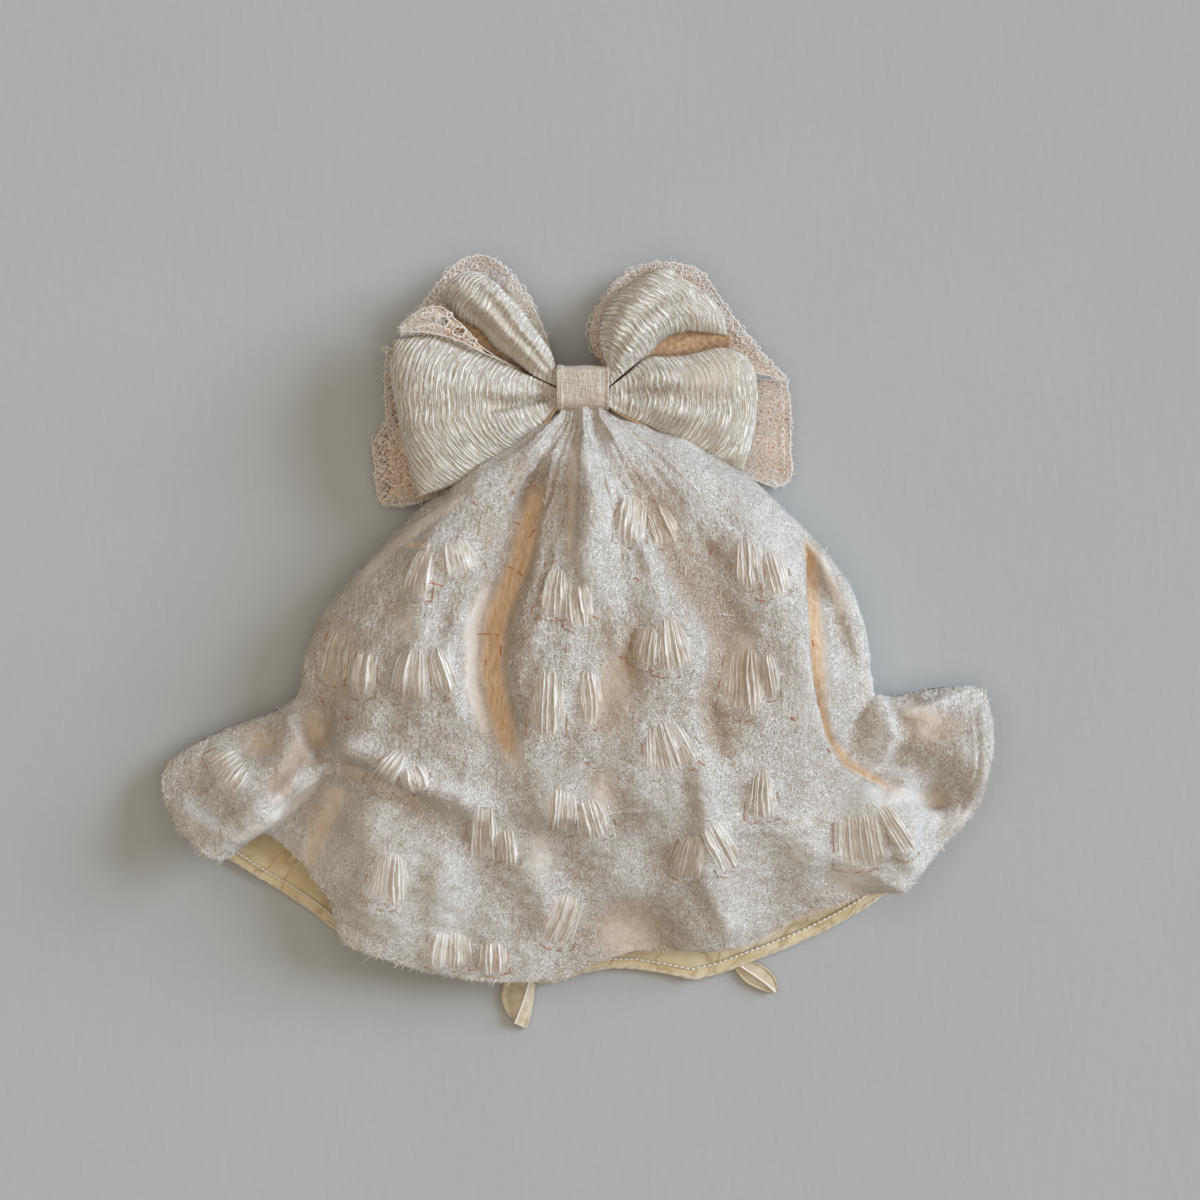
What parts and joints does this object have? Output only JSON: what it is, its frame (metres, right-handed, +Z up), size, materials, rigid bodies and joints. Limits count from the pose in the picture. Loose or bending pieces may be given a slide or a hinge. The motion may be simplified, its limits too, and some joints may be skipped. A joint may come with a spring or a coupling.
{
  "type": "baby sun hat with a bow",
  "caption": "Soft baby bonnet with a wide gathered brim, a big crinkled bow on lace-edged net and chin ties, lying flat.",
  "frame": {"origin": "centre of the bounding box on the table that the hat lies on", "axes": "+Z up from the table; +Y from the brim's hem towards the bow; +X to the right as seen from above with the bow at the top"},
  "size_m": [0.3152, 0.292, 0.0469],
  "materials": {
    "cut_cloth": "fuzzy ivory voile with raised satin threads in fan-shaped patches over a peach ground",
    "lining": "smooth yellow-cream cotton",
    "crinkle_cloth": "off-white cloth woven in raised wavy ridges",
    "knot_band": "smooth blush cotton, folded under at its edges",
    "net_and_lace": "fine peach net with a border of open lace",
    "tie_ribbon": "cream cotton tape, stitched along both edges"
  },
  "bodies": {
    "root": {"crown": "cut_cloth", "brim": "cut_cloth", "brim_lining": "lining", "bow_knot": "knot_band", "bow_loop_upper_left": "crinkle_cloth", "bow_loop_lower_left": "crinkle_cloth", "bow_loop_upper_right": "crinkle_cloth", "bow_loop_lower_right": "crinkle_cloth", "bow_net_upper_left": "net_and_lace", "bow_net_lower_left": "net_and_lace", "bow_net_upper_right": "net_and_lace", "bow_net_lower_right": "net_and_lace", "tie_left": "tie_ribbon", "tie_right": "tie_ribbon"}
  },
  "joints": []
}
